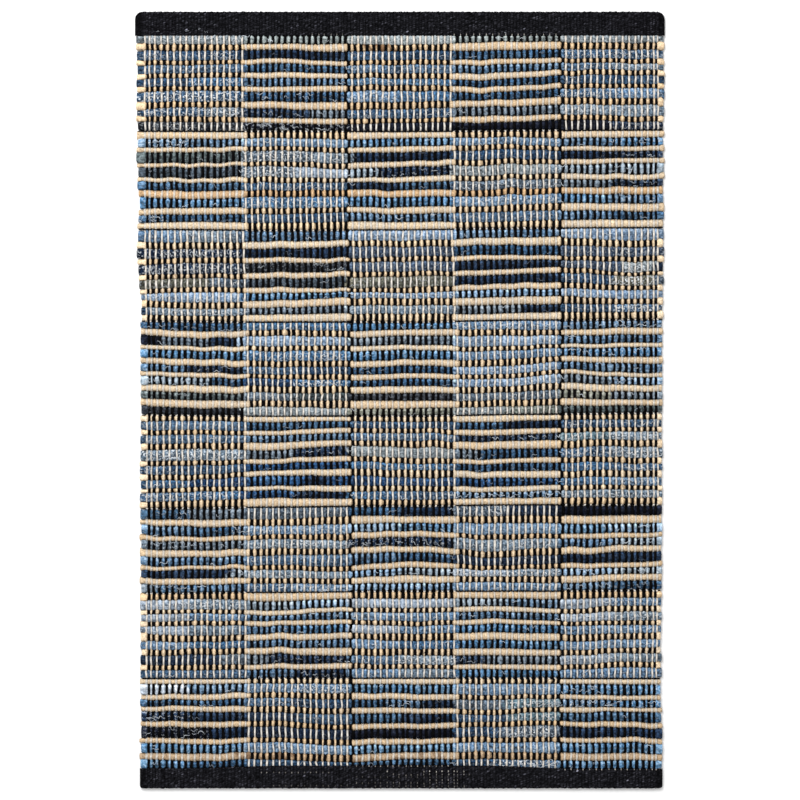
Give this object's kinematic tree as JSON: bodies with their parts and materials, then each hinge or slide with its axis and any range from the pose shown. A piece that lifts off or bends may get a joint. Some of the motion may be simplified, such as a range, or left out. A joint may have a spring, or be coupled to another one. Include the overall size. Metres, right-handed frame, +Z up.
{
  "type": "rag rug",
  "caption": "Flat woven rag rug of denim strips and jute on cotton warps, in a log cabin check of blocks, with a woven black hem band at each end.",
  "frame": {"origin": "centre of the rug's flat underside", "axes": "+X across the width, along the weft strips; +Y along the length, towards the end with the deeper hem band; +Z up, out of the ribbed face"},
  "size_m": [0.6206, 0.91, 0.0092],
  "materials": {
    "woven_rags": "woven cloth of denim strips and jute on cotton warps, matt and ribbed",
    "denim_rags": "torn strips of washed and dark denim, matt, with frayed pale threads",
    "jute_yarn": "thick soft jute, natural tan, lightly hairy",
    "cream_cotton": "undyed cotton warp, matt",
    "black_cotton": "black dyed cotton, matt"
  },
  "bodies": {
    "root": {"rug": "woven_rags"}
  },
  "joints": []
}
